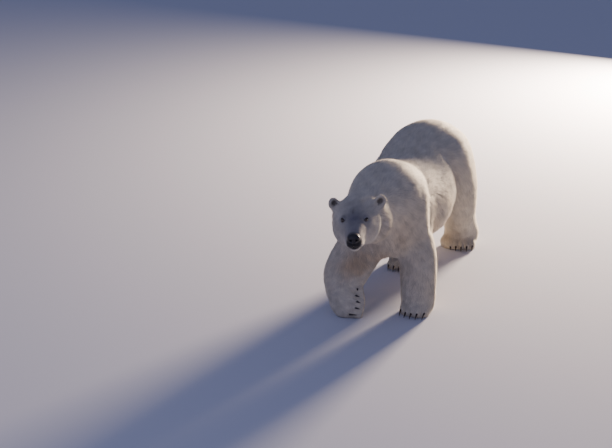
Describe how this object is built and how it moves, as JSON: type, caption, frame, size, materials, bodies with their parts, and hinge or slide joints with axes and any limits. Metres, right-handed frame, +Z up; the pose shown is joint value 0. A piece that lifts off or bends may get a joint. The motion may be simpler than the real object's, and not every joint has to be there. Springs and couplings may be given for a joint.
{
  "type": "polar bear",
  "caption": "Life-size still polar bear in mid-stride on four paws, its head low and turned to look up ahead, for a museum or diorama.",
  "frame": {"origin": "on the floor, under the middle of the bear's outline", "axes": "+Y from head to tail along the body, +X to the bear's left, +Z up"},
  "size_m": [0.8106, 2.2766, 1.0999],
  "materials": {
    "coat": "dense matte fur, creamy white, greyer on the muzzle and yellower on belly and legs",
    "nose": "moist black nose leather with a pebbled grain",
    "eyes": "dark brown eye, wet and glossy",
    "claws": "dark horn, worn satin towards the tip"
  },
  "bodies": {
    "root": {"trunk": "coat", "neck": "coat", "head": "coat", "tail": "coat", "ear_left": "coat", "ear_right": "coat", "fore_left_upper": "coat", "fore_left_lower": "coat", "fore_left_paw": "coat", "fore_left_claw_1": "claws", "fore_left_claw_2": "claws", "fore_left_claw_3": "claws", "fore_left_claw_4": "claws", "fore_left_claw_5": "claws", "fore_right_upper": "coat", "fore_right_lower": "coat", "fore_right_paw": "coat", "fore_right_claw_1": "claws", "fore_right_claw_2": "claws", "fore_right_claw_3": "claws", "fore_right_claw_4": "claws", "fore_right_claw_5": "claws", "hind_left_upper": "coat", "hind_left_lower": "coat", "hind_left_paw": "coat", "hind_left_claw_1": "claws", "hind_left_claw_2": "claws", "hind_left_claw_3": "claws", "hind_left_claw_4": "claws", "hind_left_claw_5": "claws", "hind_right_upper": "coat", "hind_right_lower": "coat", "hind_right_paw": "coat", "hind_right_claw_1": "claws", "hind_right_claw_2": "claws", "hind_right_claw_3": "claws", "hind_right_claw_4": "claws", "hind_right_claw_5": "claws", "eye_left": "eyes", "eye_right": "eyes", "nose": "nose"}
  },
  "joints": []
}
